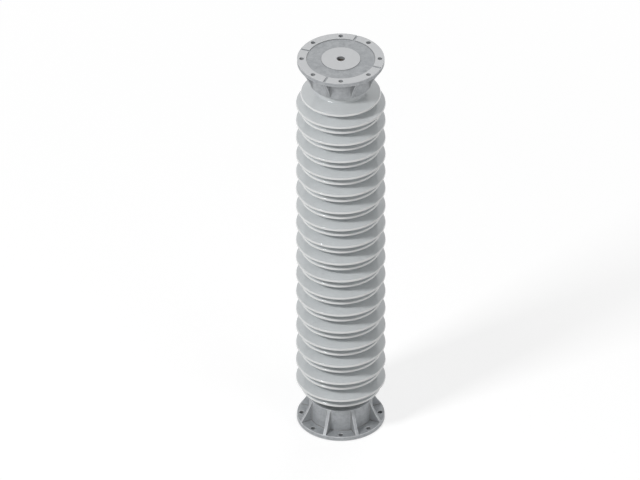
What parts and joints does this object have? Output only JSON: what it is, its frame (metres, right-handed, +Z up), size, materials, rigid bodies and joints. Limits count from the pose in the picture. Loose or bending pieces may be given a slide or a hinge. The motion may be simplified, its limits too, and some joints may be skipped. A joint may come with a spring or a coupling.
{
  "type": "post insulator",
  "caption": "Tall porcelain post insulator with long and short sheds in turn and a ribbed iron flange fitting with bolt holes cemented on each end.",
  "frame": {"origin": "centre of the bottom flange face, where the post stands on its support", "axes": "+Z up the post along its axis, +X and +Y each through a bolt hole of the flange"},
  "size_m": [0.3438, 0.344, 1.675],
  "materials": {
    "porcelain": "gloss",
    "iron": "satin",
    "cement": "matte",
    "cork": "matte",
    "sealant": "satin"
  },
  "bodies": {
    "root": {"porcelain_body": "porcelain", "bottom_fitting": "iron", "top_fitting": "iron", "bottom_cement": "cement", "top_cement": "cement", "bottom_cushion": "cork", "top_cushion": "cork", "bottom_seal": "sealant", "top_seal": "sealant"}
  },
  "joints": []
}
